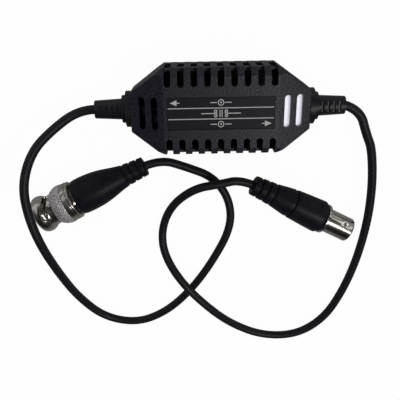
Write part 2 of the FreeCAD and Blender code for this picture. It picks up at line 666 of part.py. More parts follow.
def make_cable_ends():
    """The stretch of each cable inside its strain relief, with its wires and its tie."""
    axis = mm("housing_height") / 2
    bare = mm("jacket_end") - mm("core_bare")
    for name, side in (("plug", -1), ("jack", 1)):
        place = FreeCAD.Placement(V(0, 0, axis), FreeCAD.Rotation(V(0, 0, 1), 90 - 90 * side))
        tip = "housing_length / 2 + " + " + ".join(RELIEF)
        end = turned("CableEnd", [("jacket_end - core_bare", 0), (tip, 0), (tip, "cord_radius"),
                                  ("jacket_end", "cord_radius"), ("jacket_end", "core_radius"),
                                  ("jacket_end - core_bare", "core_radius")])
        keep(f"{name}_side_cable_end", end, place)
        band = turned("TieBand", [("tie_place", "cord_radius"),
                                  ("tie_place + tie_length", "cord_radius"),
                                  ("tie_place + tie_length", "cord_radius + tie_thickness"),
                                  ("tie_place", "cord_radius + tie_thickness")])
        head = box("TieHead", "tie_length", "3 * tie_thickness", "2 * tie_thickness",
                   ("tie_place", "-1.5 * tie_thickness", "cord_radius + tie_thickness / 2"))
        keep(f"{name}_side_cable_tie", joined("CableTie", [band, head]), place)

        hole = side * mm("wire_along")
        foot = mm("board_height") - mm("solder_height")
        across = mm("wire_across")
        first, fall = mm("wire_straight"), axis - mm("wire_fall")
        braid = (mm("cord_radius") + mm("core_radius")) / 2
        routes = {
            "center_wire": [(side * bare, 0, axis), (side * (bare - first), 0, axis),
                            (hole, across, fall), (hole, across, foot)],
            "shield_wire": [(side * mm("jacket_end"), -braid, axis),
                            (side * (mm("jacket_end") - first), -braid, axis),
                            (hole, -across, fall), (hole, -across, foot)]}
        for wire, route in routes.items():
            strand = doc.addObject("Part::Feature", "Wire")
            strand.Shape = tube(route, mm("conductor_radius"), f"{name} {wire}")
            keep(f"{name}_side_{wire}", strand)


def make_reliefs():
    """Moulded strain reliefs, each gripping the hole in an end wall."""
    inner = "housing_length / 2 - wall - fit"
    outer = "housing_length / 2 + fit"
    steps = "housing_length / 2 + relief_outer_length"
    root = f"{steps} + relief_step_length"
    tip = f"{root} + relief_tail_length"
    corners = [
        (f"{inner} - relief_inner_length", "cord_radius + fit"), (tip, "cord_radius + fit"),
        (tip, "relief_tip_radius"), (root, "relief_root_radius"), (root, "relief_step_radius"),
        (steps, "relief_step_radius"), (steps, "relief_outer_radius"),
        (outer, "relief_outer_radius"), (outer, "relief_groove_radius"),
        (inner, "relief_groove_radius"), (inner, "relief_inner_radius"),
        (f"{inner} - relief_inner_length", "relief_inner_radius")]
    blank = turned("ReliefBlank", corners)
    grooves = []
    for count in range(int(mm("relief_grooves"))):
        start = f"{root} + (relief_pitch - relief_groove_width) + {count} * relief_pitch"
        for side in (-1, 1):
            floor = "relief_root_radius - relief_groove_depth"
            low = floor if side > 0 else f"-({floor}) - relief_root_radius"
            grooves.append(box("ReliefGroove", "relief_groove_width",
                               "2 * relief_root_radius - relief_rail", "relief_root_radius",
                               (start, "-relief_root_radius + relief_rail / 2", low)))
    ribbed = cut("ReliefRibbed", blank, joined("ReliefGrooves", grooves))
    centre = V(0, 0, mm("housing_height") / 2)
    keep("jack_side_strain_relief", ribbed, FreeCAD.Placement(centre, FreeCAD.Rotation()))
    twin = doc.addObject("Part::Mirroring", "ReliefTwin")
    twin.Source = ribbed
    twin.Normal = V(1, 0, 0)
    keep("plug_side_strain_relief", twin)


def make_pad():
    """White sheet stuck under the slots of the jack's end."""
    pad = doc.addObject("Part::Box", "Pad")
    bind(pad, Length="pad_length", Width="pad_width", Height="pad_thickness")
    slope = math.atan2(mm("housing_height") - mm("end_height"),
                       mm("housing_length") - mm("middle_length"))
    down = V(math.cos(slope), 0, -math.sin(slope))
    out = V(math.sin(slope), 0, math.cos(slope))
    ridge = V(mm("middle_length") / 2, 0, mm("housing_height"))
    depth = mm("wall") + mm("fit") + mm("pad_thickness")
    corner = ridge + down * mm("pad_start") - out * depth - V(0, mm("pad_width") / 2, 0)
    turn = FreeCAD.Rotation(V(0, 1, 0), math.degrees(slope))
    keep("insulating_pad", pad, FreeCAD.Placement(corner, turn))


# Connectors: each is built along X and laid in place with one placement
CHAMBER_END = "(nut_lip + thrust_thickness + spring_length + stop_length + 4 * fit)"


def plug_place():
    """The plug lies on the nut's rear edge and on the boot's belly."""
    tilt = math.atan2(mm("nut_rear_radius") - mm("plug_boot_middle"),
                      mm("plug_smooth_length") / 2 + mm("nut_chamfer"))
    heading = math.radians(PLUG_HEADING)
    ahead = V(math.cos(heading) * math.cos(tilt), math.sin(heading) * math.cos(tilt),
              math.sin(tilt))
    height = (mm("nut_rear_radius") * math.cos(tilt) - mm("nut_chamfer") * math.sin(tilt)
              + mm("fit"))
    nose = mm("nut_length") * ahead
    base = V(PLUG_NOSE.x - nose.x, PLUG_NOSE.y - nose.y, height)
    return FreeCAD.Placement(base, FreeCAD.Rotation(ahead, V(0, 0, 0), V(0, 0, 1), "XZY"))


def jack_place():
    """The jack lies on its grip."""
    heading = math.radians(JACK_HEADING)
    ahead = V(math.cos(heading), math.sin(heading), 0)
    base = JACK_REAR + ahead * mm("jack_boot_length") + V(0, 0, mm("grip_radius") + mm("fit"))
    turn = FreeCAD.Rotation(ahead, V(0, 0, 0), V(0, 0, 1), "XZY")
    return FreeCAD.Placement(base, turn * FreeCAD.Rotation(V(1, 0, 0), JACK_ROLL))


def connector_core(name, place, collar_front, boot_rear):
    """Crimp ferrule and cable end, which both connectors have alike."""
    shank = f"({collar_front} - collar_length)"
    shank_end = f"({shank} - shank_length)"
    ferrule_end = f"({shank} - ferrule_gap - ferrule_length)"
    ferrule = turned("Ferrule", [
        (ferrule_end, "cord_radius + fit"), (f"{shank_end} - fit", "cord_radius + fit"),
        (f"{shank_end} - fit", "shank_radius + fit"), (f"{shank} - ferrule_gap", "shank_radius + fit"),
        (f"{shank} - ferrule_gap", "ferrule_radius"), (ferrule_end, "ferrule_radius")])
    keep(f"{name}_crimp_ferrule", ferrule, place)
    jacket = f"({shank_end} - strip_length)"
    tip = f"({boot_rear} + fit)"
    cable = turned("CableTip", [
        (tip, 0), (f"{collar_front} - contact_rear / 2", 0),
        (f"{collar_front} - contact_rear / 2", "conductor_radius"),
        (f"{shank} + core_reach", "conductor_radius"), (f"{shank} + core_reach", "core_radius"),
        (jacket, "core_radius"), (jacket, "cord_radius"), (tip, "cord_radius")])
    keep(f"{name}_cable_tip", cable, place)


def body_rear(collar_front):
    """Corners of a connector body's rear: bore, shank and collar, from its rear up."""
    shank = f"({collar_front} - collar_length)"
    return [(f"{shank} - shank_length", "shank_bore"),
            (f"{shank} - shank_length", "shank_radius"), (shank, "shank_radius"),
            (shank, "collar_radius"), (collar_front, "collar_radius")]


def boot_bore(collar_front, boot_rear, front):
    """Corners of a boot's inside, from its front back along the bore."""
    shank = f"({collar_front} - collar_length)"
    ferrule_end = f"({shank} - ferrule_gap - ferrule_length)"
    return [(front, "collar_radius + fit"), (f"{shank} - fit", "collar_radius + fit"),
            (f"{shank} - fit", "ferrule_radius + fit"),
            (f"{ferrule_end} - fit", "ferrule_radius + fit"),
            (f"{ferrule_end} - fit", "cord_radius + fit"), (boot_rear, "cord_radius + fit")]


def ribs(rear, radius_rear, front, radius_front, count):
    """Corners of a ribbed tail, from its rear forwards."""
    corners = []
    for step in range(count):
        low, high = (f"({rear} + ({front} - ({rear})) * {k} / {count})"
                     for k in (step, step + 1))
        r_low, r_high = (f"({radius_rear} + ({radius_front} - {radius_rear}) * {k} / {count})"
                         for k in (step, step + 1))
        corners += [(low, r_low), (f"{high} - rib_gap", r_low),
                    (f"{high} - rib_gap", f"{r_low} - rib_depth"),
                    (high, f"{r_high} - rib_depth")]
    return corners


def make_plug():
    place = plug_place()
    collar = "(-collar_gap)"
    rear = "(-plug_boot_length)"
    connector_core("plug", place, collar, rear)

    front = "(-boot_gap)"
    neck = "(-plug_smooth_length)"
    shape = boot_bore(collar, rear, front)
    shape += ribs(rear, "plug_boot_end", neck, "plug_boot_neck", 4)
    shape += [(neck, "plug_boot_neck"),
              (f"{neck} * 3 / 4", "plug_boot_waist"), (f"{neck} / 2", "plug_boot_middle"),
              (f"{neck} / 4", "plug_boot_shoulder"),
              (front, "plug_boot_front")]
    keep("plug_boot", turned("PlugBoot", shape), place)

    thrust_front = "(nut_lip + fit + thrust_thickness)"
    stop_rear = f"({CHAMBER_END} - fit - stop_length)"
    stop_front = f"({CHAMBER_END} - fit)"
    body = body_rear(collar) + [
        (collar, "neck_radius"), (stop_rear, "neck_radius"), (stop_rear, "stop_radius"),
        (stop_front, "stop_radius"), (stop_front, "sleeve_radius"),
        ("sleeve_end", "sleeve_radius"), ("sleeve_end", "sleeve_radius - sleeve_wall"),
        (f"{stop_front} + sleeve_floor", "sleeve_radius - sleeve_wall"),
        (f"{stop_front} + sleeve_floor", "insulator_radius + fit"),
        (collar, "insulator_radius + fit"), (collar, "shank_bore")]
    keep("plug_body", turned("PlugBody", body), place)
    gasket = turned("Gasket", [
        (stop_front, "sleeve_radius"), (f"{stop_front} + gasket_length", "sleeve_radius"),
        (f"{stop_front} + gasket_length", "gasket_radius"), (stop_front, "gasket_radius")])
    keep("plug_gasket", gasket, place)
    insulator = turned("PlugInsulator", [
        (f"{collar} + fit", "plug_pin_radius"), ("plug_insulator_end", "plug_pin_radius"),
        ("plug_insulator_end", "insulator_radius"), (f"{collar} + fit", "insulator_radius")])
    keep("plug_insulator", insulator, place)
    pin_rear = f"({collar} - contact_rear + 2 * fit)"
    pin = turned("PlugPin", [
        (pin_rear, "conductor_radius"), (f"{collar} - contact_rear / 2", "conductor_radius"),
        (f"{collar} - contact_rear / 2", 0), ("plug_pin_end", 0),
        ("plug_pin_end", "plug_pin_radius / 3"), ("plug_pin_end - pin_taper", "plug_pin_radius"),
        (pin_rear, "plug_pin_radius")])
    keep("plug_pin", pin, place)

    washer = turned("ThrustWasher", [
        ("nut_lip + fit", "neck_radius + fit"), (thrust_front, "neck_radius + fit"),
        (thrust_front, "thrust_outer"), ("nut_lip + fit", "thrust_outer")])
    keep("thrust_washer", washer, place)
    keep("wave_washer", wave_washer(), place)
    keep("coupling_nut", cut("CouplingNut", nut_blank(), bayonet_tools()), place)


def wave_washer():
    """A thin ring with three waves, filling the space between its neighbours."""
    low = mm("nut_lip") + 2 * mm("fit") + mm("thrust_thickness")
    middle = low + mm("spring_length") / 2
    swing = (mm("spring_length") - mm("spring_thickness")) / 2
    half = mm("spring_thickness") / 2
    sections = []
    for step in range(36):
        angle = math.radians(step * 10)
        along = middle + swing * math.cos(3 * angle)
        corners = []
        for radius, lift in (("spring_inner", -half), ("spring_outer", -half),
                             ("spring_outer", half), ("spring_inner", half)):
            reach = mm(radius)
            corners.append(V(along + lift, reach * math.cos(angle), reach * math.sin(angle)))
        sections.append(Part.makePolygon(corners + corners[:1]))
    ring = doc.addObject("Part::Feature", "WaveWasher")
    ring.Shape = Part.makeLoft(sections, True, False, True)
    return ring


def nut_blank():
    """The coupling nut before its bayonet tracks are cut."""
    knurl = "(nut_rear_length + knurl_length)"
    nose = "(nut_length - nose_length)"
    return turned("NutBlank", [
        (0, "nut_neck_bore"), ("nut_lip", "nut_neck_bore"), ("nut_lip", "chamber_radius"),
        (CHAMBER_END, "chamber_radius"), (CHAMBER_END, "nut_bore"),
        ("nut_length - nut_chamfer", "nut_bore"), ("nut_length", "nut_bore + nut_chamfer"),
        ("nut_length", "nose_radius - nut_chamfer"), ("nut_length - nose_round", "nose_radius"),
        (f"{nose} + nose_round", "nose_radius"), (f"{nose} - nut_chamfer", "waist_radius"),
        (f"{knurl} + nut_chamfer", "waist_radius"), (knurl, "knurl_front_radius"),
        (f"{knurl} - knurl_slope", "knurl_radius"), ("nut_rear_length", "knurl_radius"),
        ("nut_rear_length", "nut_rear_radius"), ("nut_chamfer", "nut_rear_radius"),
        (0, "nut_rear_radius - nut_chamfer")])


def bayonet_tools():
    """Two tracks: a straight entry inside the rim, then a rising slot through the waist."""
    tools = []
    steps = 13
    for start, low in ((0, 0), (180, "-track_radius")):
        tools.append(box("TrackEntry", "nut_length", "track_width", "track_radius",
                         ("nut_length - track_seat - track_width / 2", "-track_width / 2", low)))
        for step in range(steps):
            share = step / (steps - 1)
            peg = doc.addObject("Part::Cylinder", "TrackPeg")
            bind(peg, Radius="track_width / 2", Height="nose_radius + 1")
            angle = start + share * mm("track_turn")
            along = mm("nut_length") - mm("track_seat") - share * mm("track_rise")
            peg.Placement = FreeCAD.Placement(V(along, 0, 0),
                                              FreeCAD.Rotation(V(1, 0, 0), angle))
            tools.append(peg)
    return joined("BayonetTools", tools)


def make_jack():
    place = jack_place()
    collar = "(-fit)"
    rear = "(-jack_boot_length)"
    connector_core("jack", place, collar, rear)

    grip = "(-grip_length)"
    groove = f"({grip} - ring_groove_length)"
    cone = f"({groove} - cone_length)"
    shape = boot_bore(collar, rear, "0")
    shape += ribs(rear, "jack_boot_end", cone, "cone_rear", 3)
    shape += [(cone, "cone_rear"), (groove, "cone_front"), (groove, "ring_groove_radius"),
              (grip, "ring_groove_radius"), (grip, "grip_rear_radius"),
              ("-grip_chamfer", "grip_radius"), (0, "grip_radius - grip_chamfer")]
    keep("jack_boot", turned("JackBoot", shape), place)

    front = "(flange_length + barrel_length)"
    outer = body_rear(collar) + [
        ("fit", "collar_radius"), ("fit", "flange_radius - edge_break"),
        ("fit + edge_break", "flange_radius"),
        ("flange_length", "flange_radius"), ("flange_length", "barrel_radius"),
        (f"{front} - edge_break", "barrel_radius"), (front, "barrel_radius - edge_break"),
        (front, "barrel_bore"), ("barrel_floor", "barrel_bore"),
        ("barrel_floor", "insulator_radius + fit"), (collar, "insulator_radius + fit"),
        (collar, "shank_bore")]
    barrel = turned("JackBarrel", outer)
    middle = f"({front} - lug_back)"
    flats, lugs = [], []
    for side in (-1, 1):
        floor = "barrel_radius - flat_depth"
        low = floor if side > 0 else f"-({floor}) - 1"
        flats.append(box("LugFlat", "flat_length", "2 * barrel_radius", "1",
                         (f"{middle} - flat_length / 2", "-barrel_radius", low)))
        start = "barrel_bore + fit" if side > 0 else "-lug_reach"
        lugs.append(rod("Lug", "lug_radius", "lug_reach - barrel_bore - fit",
                        (middle, 0, start)))
    body = joined("JackBody", [cut("FlatBarrel", barrel, joined("LugFlats", flats))] + lugs)
    keep("jack_body", body, place)
    insulator = turned("JackInsulator", [
        (f"{collar} + fit", "jack_contact_radius"), ("jack_insulator_end", "jack_contact_radius"),
        ("jack_insulator_end", "insulator_radius"), (f"{collar} + fit", "insulator_radius")])
    keep("jack_insulator", insulator, place)
    rear_end = f"({collar} - contact_rear + 2 * fit)"
    cup = f"({collar} - contact_rear / 2)"
    contact = turned("JackContact", [
        (rear_end, "conductor_radius"), (cup, "conductor_radius"), (cup, 0),
        ("jack_insulator_end - jack_contact_depth", 0),
        ("jack_insulator_end - jack_contact_depth", "jack_contact_bore"),
        ("jack_insulator_end - edge_break", "jack_contact_bore"),
        ("jack_insulator_end - edge_break", "jack_contact_radius"),
        (f"{collar} + fit", "jack_contact_radius"),
        (f"{collar} + fit", "shank_bore - fit"), (rear_end, "shank_bore - fit")])
    keep("jack_contact", contact, place)


def make_cords():
    """The free stretch of each cable, as one plain tube."""
    axis = mm("housing_height") / 2
    plug_rear = plug_place().multVec(V(-mm("plug_boot_length"), 0, 0))
    jack_rear = jack_place().multVec(V(-mm("jack_boot_length"), 0, 0))
    for label, side, route, rear in (("plug_cord", -1, PLUG_ROUTE, plug_rear),
                                     ("jack_cord", 1, JACK_ROUTE, jack_rear)):
        points = [(side * relief_tip(), 0, axis)] + route + [tuple(rear)]
        cord = doc.addObject("Part::Feature", "Cord")
        cord.Shape = tube(points, mm("cord_radius"), label)
        keep(label, cord)


def check():
    """Stop if any object failed or any sub-part isn't whole."""
    for thing in doc.Objects:
        if set(thing.State) & {"Invalid", "Error"}:
            raise RuntimeError(f"{thing.Label} failed: {thing.State}")
    for label, thing in parts.items():
        if thing.Shape.isNull() or not thing.Shape.isValid() or not thing.Shape.Solids:
            raise RuntimeError(f"{label} is not a whole solid")


make_shells()
make_label()
make_board()
make_transformer()
make_cable_ends()
make_reliefs()
make_pad()
make_plug()
make_jack()
make_cords()
doc.recompute()
check()
os.makedirs("parts", exist_ok=True)
for label, thing in parts.items():
    thing.Shape.exportStep(f"parts/{label}.step")
print(f"{len(parts)} parts written")
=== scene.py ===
import json
import math

import bmesh
import bpy
from mathutils import Matrix, Vector


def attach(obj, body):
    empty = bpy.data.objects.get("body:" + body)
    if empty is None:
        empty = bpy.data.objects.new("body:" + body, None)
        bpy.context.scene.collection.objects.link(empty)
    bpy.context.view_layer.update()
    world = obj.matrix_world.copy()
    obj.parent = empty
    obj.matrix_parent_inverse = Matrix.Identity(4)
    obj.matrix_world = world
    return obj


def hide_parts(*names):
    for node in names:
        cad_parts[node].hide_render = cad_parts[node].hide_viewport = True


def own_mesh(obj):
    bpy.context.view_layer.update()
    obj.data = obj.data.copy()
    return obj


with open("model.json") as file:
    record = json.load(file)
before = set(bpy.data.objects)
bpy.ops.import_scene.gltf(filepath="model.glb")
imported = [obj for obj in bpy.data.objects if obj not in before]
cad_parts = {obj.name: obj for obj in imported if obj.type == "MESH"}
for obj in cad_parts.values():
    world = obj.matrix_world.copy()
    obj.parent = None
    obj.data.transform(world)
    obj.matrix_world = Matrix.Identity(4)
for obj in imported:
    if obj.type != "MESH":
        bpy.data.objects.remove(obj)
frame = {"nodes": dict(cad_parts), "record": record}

MM = 0.001
scene = bpy.context.scene
nodes = frame["nodes"]
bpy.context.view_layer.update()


def link(obj):
    scene.collection.objects.link(obj)
    return obj


# Camera: the photograph's view
CAMERA_PLACE = (-7.697, 38.310, 187.884)
CAMERA_RIGHT = (0.999826, -0.017227, 0.007225)
CAMERA_UP = (0.018681, 0.922951, -0.384464)
CAMERA_BACK = (-0.0000453, 0.384532, 0.923112)
camera_data = bpy.data.cameras.new("camera")
camera_data.lens = 45.054
camera_data.clip_start = 0.01
camera_data.clip_end = 10
camera = link(bpy.data.objects.new("camera", camera_data))
camera.matrix_world = Matrix.Translation(Vector(CAMERA_PLACE) * MM) @ Matrix(
    (CAMERA_RIGHT, CAMERA_UP, CAMERA_BACK)).transposed().to_4x4()
scene.camera = camera

# Routes of the cables, in millimetres: part.py's points
RELIEF_TIP = 44.4
CORD_RADIUS = 1.65
PLUG_ROUTE = [
    (-RELIEF_TIP, 0.0, 10.0),
    (-50.6, 0.0, 10.0), (-61.3, -7.4, 13.4), (-67.4, -13.8, 17.2), (-71.1, -24.5, 20.2),
    (-70.4, -36.1, 21.5), (-67.5, -48.3, 21.5), (-63.8, -63.8, 16.0), (-59.8, -80.3, 7.6),
    (-51.0, -94.3, 2.3), (-36.6, -98.1, 1.75), (-23.4, -92.4, 1.75), (-11.9, -81.0, 1.75),
    (-2.5, -66.9, 1.75), (4.9, -51.6, 1.75), (4.3, -39.3, 1.75), (-2.3, -29.4, 1.75),
    (-13.1, -24.8, 2.3), (-22.3, -21.1, 4.2), (-28.573, -23.214, 5.034),
]
JACK_ROUTE = [
    (RELIEF_TIP, 0.0, 10.0),
    (50.4, -1.9, 9.8), (53.9, -11.3, 9.4), (56.7, -16.7, 8.6), (59.1, -30.8, 7.2),
    (59.7, -46.9, 5.6), (57.8, -65.0, 4.2), (53.6, -82.1, 2.9), (46.8, -97.2, 2.0),
    (35.1, -106.1, 1.75), (19.8, -106.4, 1.75), (5.8, -98.4, 4.0), (-5.0, -86.7, 8.0),
    (-16.1, -73.9, 8.0), (-23.1, -62.7, 3.8), (-23.8, -51.9, 1.75), (-19.3, -40.9, 2.9),
    (-9.9, -31.8, 8.0), (0.3, -30.2, 8.0), (7.6, -29.0, 6.7), (13.0, -31.3, 6.65),
]


def cable(name, route):
    """A cable's jacket along one smooth curve."""
    data = bpy.data.curves.new(name, "CURVE")
    data.dimensions = "3D"
    data.bevel_depth = 1  # times each point's radius, which is also its share of the curve's box
    data.bevel_resolution = 7
    data.resolution_u = 16
    data.use_fill_caps = True
    spline = data.splines.new("NURBS")
    spline.points.add(len(route) - 1)
    for point, place in zip(spline.points, route):
        point.co = (*(Vector(place) * MM), 1)
        point.radius = CORD_RADIUS * MM
    spline.order_u = 3
    spline.use_endpoint_u = True
    piece = link(bpy.data.objects.new(name, data))
    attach(piece, "isolator")
    return piece


plug_cable = cable("plug_cable", PLUG_ROUTE)
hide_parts("plug_cord")
jack_cable = cable("jack_cable", JACK_ROUTE)
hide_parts("jack_cord")


# Pieces built finer than the CAD ones, in millimetres
def axes_at(base, ahead, roll=0.0):
    """A connector's own axes: X ahead along it, Z as near upright as it can be, then rolled."""
    along = Vector(ahead).normalized()
    upright = (Vector((0, 0, 1)) - along * along.z).normalized()
    turn = Matrix((along, upright.cross(along), upright)).transposed().to_4x4()
    return (Matrix.Translation(Vector(base) * MM) @ turn
            @ Matrix.Rotation(math.radians(roll), 4, "X") @ Matrix.Scale(MM, 4))


PLUG = axes_at((-55.92231, -35.27637, 7.58014), (-0.911658, -0.402089, 0.084878))
JACK = axes_at((40.64955, -45.75484, 6.65), (0.886204, -0.463296, 0), -37.0)
CREASE = 32  # degrees: a steeper edge stays sharp
ROUNDING_STEPS = 5


def softened(corners):
    """Corners of a closed outline, each cut back by its third value and rounded there."""
    outline = []
    for i, (x, r, cut) in enumerate(corners):
        here = Vector((x, r))
        if not cut:
            outline.append(here)
            continue
        before = Vector(corners[i - 1][:2]) - here
        after = Vector(corners[(i + 1) % len(corners)][:2]) - here
        first = here + before * min(0.49, cut / before.length)
        last = here + after * min(0.49, cut / after.length)
        for k in range(ROUNDING_STEPS + 1):
            t = k / ROUNDING_STEPS
            outline.append(first * (1 - t) ** 2 + here * 2 * t * (1 - t) + last * t ** 2)
    return outline


def solid(name, place, verts, faces, sharp=CREASE):
    """A smooth-shaded piece from points in a connector's axes."""
    data = bpy.data.meshes.new(name)
    data.from_pydata([place @ Vector(v) for v in verts], [], faces)
    shell = bmesh.new()
    shell.from_mesh(data)
    bmesh.ops.remove_doubles(shell, verts=shell.verts, dist=1e-7)
    bmesh.ops.recalc_face_normals(shell, faces=shell.faces)
    shell.to_mesh(data)
    shell.free()
    data.shade_smooth()
    data.set_sharp_from_angle(angle=math.radians(sharp))
    return link(bpy.data.objects.new(name, data))


def circle(x, r, turns):
    """Points at these angles round a connector's axis."""
    return [(x, r * math.sin(a), r * math.cos(a)) for a in turns]


def full_turn(count):
    return [2 * math.pi * j / count for j in range(count)]


def ring_faces(rows, columns):
    """Quads that join rows of points, closed both ways."""
    return [(i * columns + j, i * columns + (j + 1) % columns,
             (i + 1) % rows * columns + (j + 1) % columns, (i + 1) % rows * columns + j)
            for i in range(rows) for j in range(columns)]


def lathe(name, place, corners, segments=128):
    """A ring turned from a closed outline of (along, radius, rounding) corners."""
    outline = softened(corners)
    turns = full_turn(segments)
    verts = [point for x, r in outline for point in circle(x, r, turns)]
    return solid(name, place, verts, ring_faces(len(outline), segments))


def combine(piece, operation, tools):
    """Join the tools to a piece or cut them from it, and drop them."""
    for tool in tools:
        step = piece.modifiers.new("step", "BOOLEAN")
        step.operation = operation
        step.solver = "EXACT"
        step.object = tool
    bpy.context.view_layer.update()
    done = bpy.data.meshes.new_from_object(
        piece.evaluated_get(bpy.context.evaluated_depsgraph_get()))
    piece.modifiers.clear()
    piece.data = done
    done.shade_smooth()
    done.set_sharp_from_angle(angle=math.radians(CREASE))
    for tool in tools:
        bpy.data.objects.remove(tool)


def bar(name, place, low, high):
    """A plain block, only ever used as a cutting tool."""
    corners = [(x, y, z) for x in (low[0], high[0]) for y in (low[1], high[1])
               for z in (low[2], high[2])]
    return solid(name, place, corners, [(0, 1, 3, 2), (4, 5, 7, 6), (0, 1, 5, 4),
                                        (2, 3, 7, 6), (0, 2, 6, 4), (1, 3, 7, 5)])


def through_curve(points, count):
    """Points of a smooth curve through the given ones, evenly many between each two."""
    spots = [Vector(p) for p in points]
    spots = [spots[0] * 2 - spots[1]] + spots + [spots[-1] * 2 - spots[-2]]
    found = []
    for a, b, c, d in zip(spots, spots[1:], spots[2:], spots[3:]):
        for k in range(count):
            t = k / count
            found.append((b * 2 + (c - a) * t + (a * 2 - b * 5 + c * 4 - d) * t * t
                          + (b * 3 - a - c * 3 + d) * t ** 3) / 2)
    return [(p.x, p.y, 0) for p in found] + [(*points[-1], 0)]


# Coupling nut: rear rim and band, waist with the tracks, bulged nose
nut = lathe("nut_body", PLUG, [
    (0, 4.75, 0), (0, 7.0, 0.3), (0.45, 7.5, 0.25), (0.95, 7.5, 0.12), (1.0, 7.2, 0.1),
    (1.3, 7.2, 0.1), (1.35, 7.6, 0.15), (3.15, 7.6, 0.15), (3.3, 7.3, 0), (5.4, 7.3, 0),
    (8.2, 6.15, 0.2), (8.7, 6.0, 0.3)] + through_curve(
        [(9.4, 5.95), (10.4, 6.0), (11.2, 6.3), (12.0, 6.85), (13.0, 7.22), (14.0, 7.3),
         (15.0, 7.12), (15.7, 6.7)], 5) + [
    (16.1, 6.2, 0.2), (16.1, 5.4, 0.2), (15.6, 4.95, 0.2), (6.0, 4.95, 0), (6.0, 6.3, 0),
    (1.9, 6.3, 0), (1.9, 4.75, 0)], 160)

TRACK_ENTRY = 12.0      # where a bayonet track leaves its straight entry
TRACK_LEAD = 2.2        # how far it runs back from there
TRACK_SWEEP = 78.0      # degrees round the nut
TRACK_HALF = 1.05
SEAT_HALF = 1.4         # at its end, where the lug locks
TRACK_WALL = (4.2, 8.6)  # radii that the tool cuts between
WALL_MIDDLE = 6.2


def track_tool(start):
    """The slot of one bayonet track, with round ends and its seat, as a bent bar."""
    steps, across, seat, cap = 40, 6, 4, 6
    verts = []
    for i in range(-cap, steps + cap + 1):
        t = min(max(i / steps, 0), 1)
        over = max(-i, i - steps, 0) / cap
        half = SEAT_HALF if i > steps - seat else TRACK_HALF
        wide = half * math.sqrt(max(1 - over ** 2, 0.01))
        turn = (math.radians(TRACK_SWEEP * t) + start
                + (over if i > 0 else -over) * TRACK_HALF / WALL_MIDDLE)
        along = TRACK_ENTRY - TRACK_LEAD * t
        for k in range(across + 1):
            x = along + wide * (2 * k / across - 1)
            verts += [(x, -r * math.sin(turn), r * math.cos(turn)) for r in TRACK_WALL]
    row = 2 * (across + 1)
    last = len(verts) - row
    faces = []
    for base in range(0, last, row):
        for a in range(base, base + 2 * across, 2):
            faces += [(a, a + 2, a + row + 2, a + row),
                      (a + 1, a + row + 1, a + row + 3, a + 3)]
        for a in (base, base + 2 * across):
            faces.append((a, a + 1, a + row + 1, a + row))
    for base in (0, last):
        faces += [(a, a + 1, a + 3, a + 2) for a in range(base, base + 2 * across, 2)]
    return solid("track_tool", PLUG, verts, faces)


combine(nut, "DIFFERENCE", [track_tool(0), track_tool(math.pi)] + [
    bar("entry_tool", PLUG, (11.6, -1.15, low), (17, 1.15, low + 1.25)) for low in (4.5, -5.75)])
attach(nut, "nut")
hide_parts("coupling_nut")

KNURL_REAR = 3.32
KNURL_FRONT = 8.32
KNURL_TAPER = 4.9       # where the band starts to fall towards the waist
KNURL_RADIUS = 7.8
KNURL_FALL = 1.35
KNURL_DIAMONDS = 88     # round the band
KNURL_DEPTH = 0.2
KNURL_WALL = 0.5
EDGE_DROP = 0.15


def knurled_ring():
    """The nut's knurled band: a grid of small diamonds that tapers towards the waist."""
    around, along = 352, 44
    turns = full_turn(around)
    pitch = 2 * math.pi * KNURL_RADIUS / KNURL_DIAMONDS
    outer, inner = [], []
    for i in range(along + 1):
        x = KNURL_REAR + (KNURL_FRONT - KNURL_REAR) * i / along
        slope = max(0.0, (x - KNURL_TAPER) / (KNURL_FRONT - KNURL_TAPER))
        top = KNURL_RADIUS - KNURL_FALL * slope ** 1.6
        edge = EDGE_DROP * max(0.0, 1 - min(i, along - i) / 3)
        for j, turn in enumerate(turns):
            groove = min(abs((KNURL_DIAMONDS * j / around + way * x / pitch) % 2 - 1)
                         for way in (1, -1))
            low = KNURL_DEPTH * (1 - min(1.0, groove * 2.2)) + edge
            outer += circle(x, top - low, [turn])
        inner.append(circle(x, top - KNURL_WALL, turns))
    verts = outer + [point for row in reversed(inner) for point in row]
    return solid("nut_knurl", PLUG, verts, ring_faces(2 * (along + 1), around), sharp=60)


knurl = knurled_ring()
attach(knurl, "nut")

SPRING_MIDDLE = 3.75
SPRING_SWING = 1.0      # of its waves, to each side of the middle
SPRING_RADII = (4.85, 5.95)
SPRING_HALF = 0.14      # half of the sheet's thickness


def wave_ring():
    """The wave washer behind the plug's stop flange: a thin ring with three waves."""
    turns = full_turn(96)
    inner, outer = SPRING_RADII
    verts = [(SPRING_MIDDLE + SPRING_SWING * math.cos(3 * a) + lift, r * math.cos(a),
              r * math.sin(a))
             for r, lift in ((inner, -SPRING_HALF), (outer, -SPRING_HALF), (outer, SPRING_HALF),
                             (inner, SPRING_HALF))
             for a in turns]
    return solid("spring_washer", PLUG, verts, ring_faces(4, len(turns)), sharp=60)


# The washer is drawn at its free height of 2.3 mm; in use the pull presses it to 1.5 mm against
# the flange in front of it
spring = wave_ring()
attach(spring, "isolator")
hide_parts("wave_washer")
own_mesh(spring)

# Boots: bores for the collar of the metal body, its crimp ferrule and the cable
COLLAR_BORE = 5.25
FERRULE_BORE = 3.15
CABLE_BORE = 1.7
RIB_ROUND = 0.4
GROOVE_ROUND = 0.2
GROOVE_SLOPE = 0.1


